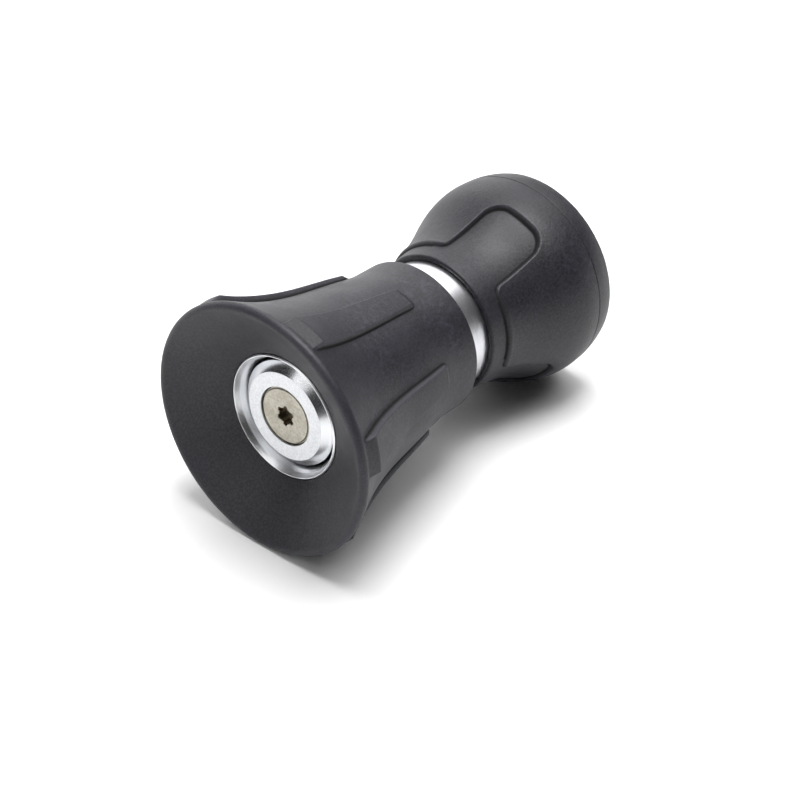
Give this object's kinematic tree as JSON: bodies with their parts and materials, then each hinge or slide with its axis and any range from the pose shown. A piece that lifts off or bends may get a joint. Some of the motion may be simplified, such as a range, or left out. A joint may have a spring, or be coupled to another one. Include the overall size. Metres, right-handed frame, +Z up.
{
  "type": "fire hose nozzle",
  "caption": "Short twist-barrel fire hose nozzle with a flared rubber front bumper, a baffle in a dished face, and a rubber bell grip over a female hose thread.",
  "frame": {"origin": "centre of the inlet, where the female hose thread starts", "axes": "+X along the nozzle's axis from the inlet to the spray end; +Z up as the nozzle lies on its side"},
  "size_m": [0.111, 0.07, 0.07],
  "materials": {
    "rubber_barrel": "satin moulded rubber",
    "rubber_grip": "satin moulded rubber",
    "seal_rubber": "smooth black rubber",
    "turned_aluminium": "turned",
    "anodised_aluminium": "clear anodised",
    "stainless": "machined",
    "brass": "turned",
    "acetal": "natural acetal"
  },
  "bodies": {
    "body": {"body_tube": "turned_aluminium", "inlet_coupling": "anodised_aluminium", "coupling_o_ring": "seal_rubber", "hose_washer": "seal_rubber", "inlet_strainer": "stainless", "stem_spider": "brass", "stem": "brass", "stem_washer": "stainless", "stem_nut": "stainless", "seal_backing_washer": "stainless", "baffle_seal": "seal_rubber", "baffle_disc": "turned_aluminium", "baffle_screw": "stainless", "rear_grip": "rubber_grip", "grip_end_ring": "rubber_grip"},
    "barrel_slide": {"glide_ring": "acetal", "wiper_ring": "seal_rubber", "barrel_o_ring": "seal_rubber"},
    "barrel": {"barrel_shell": "anodised_aluminium", "guide_screws": "stainless", "seat_ring": "turned_aluminium", "seat_ring_o_ring": "seal_rubber", "front_bumper": "rubber_barrel"}
  },
  "joints": [
    {"name": "barrel_advance", "type": "slide", "parent": "body", "child": "barrel_slide", "axis": [-1, 0, 0], "range_m": [0, 0.008]},
    {"name": "barrel_twist", "type": "hinge", "parent": "barrel_slide", "child": "barrel", "pos_m": [0.061, 0, 0], "axis": [-1, 0, 0], "range_deg": [0, 120]}
  ],
  "couplings": [
    {"joint": "barrel_advance", "follows": "barrel_twist", "m_per_rad": 0.0038197}
  ]
}
